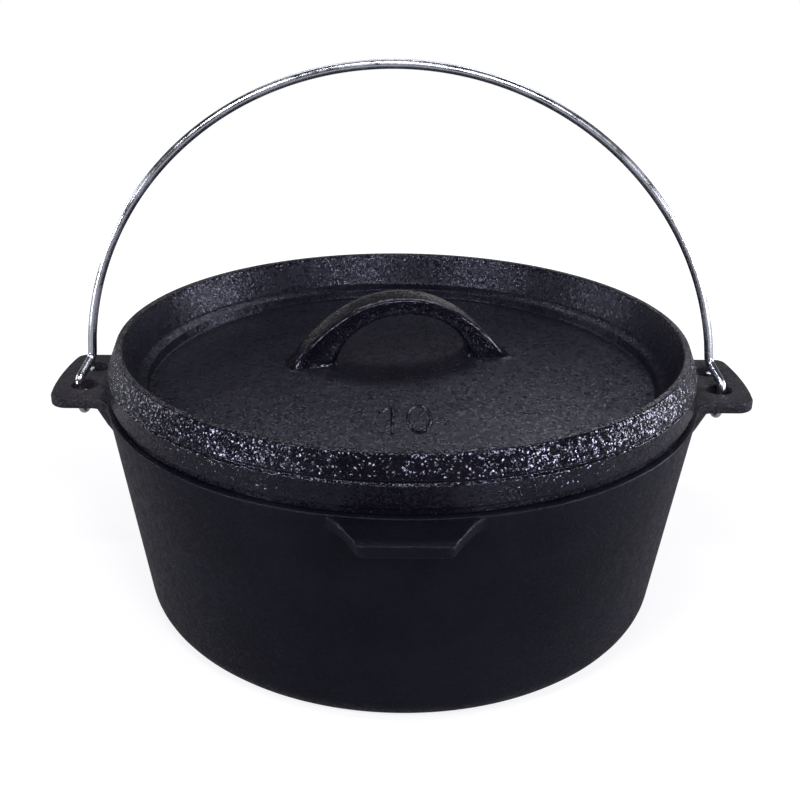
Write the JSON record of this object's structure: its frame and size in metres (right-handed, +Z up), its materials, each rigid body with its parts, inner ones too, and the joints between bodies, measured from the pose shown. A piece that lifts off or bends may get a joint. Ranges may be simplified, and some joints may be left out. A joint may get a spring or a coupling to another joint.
{
  "type": "cast iron bread pot",
  "caption": "Flat-based cast iron pot with pierced ears, a deep-rimmed lid with a strap handle, and a wire bail that swings from the ears.",
  "frame": {"origin": "centre of the pot's flat base, on the surface that it stands on", "axes": "+Z up along the pot's axis; -Y towards the lifting tab and the raised number; X through the pierced ears, along the bail's hinge"},
  "size_m": [0.3168, 0.2834, 0.2433],
  "materials": {
    "pot_iron": "sand cast, seasoned black, satin",
    "lid_iron": "sand cast, seasoned black, satin",
    "plated_wire": "bright plated wire"
  },
  "bodies": {
    "pot": {"pot": "pot_iron"},
    "lid": {"lid": "lid_iron"},
    "bail": {"bail": "plated_wire"}
  },
  "joints": [
    {"name": "lid_lift", "type": "slide", "parent": "pot", "child": "lid", "axis": [0, 0, 1], "range_m": [0, 0.02]},
    {"name": "bail_swing", "type": "hinge", "parent": "pot", "child": "bail", "pos_m": [0, 0, 0.098], "axis": [1, 0, 0], "range_deg": [-72, 72]}
  ]
}
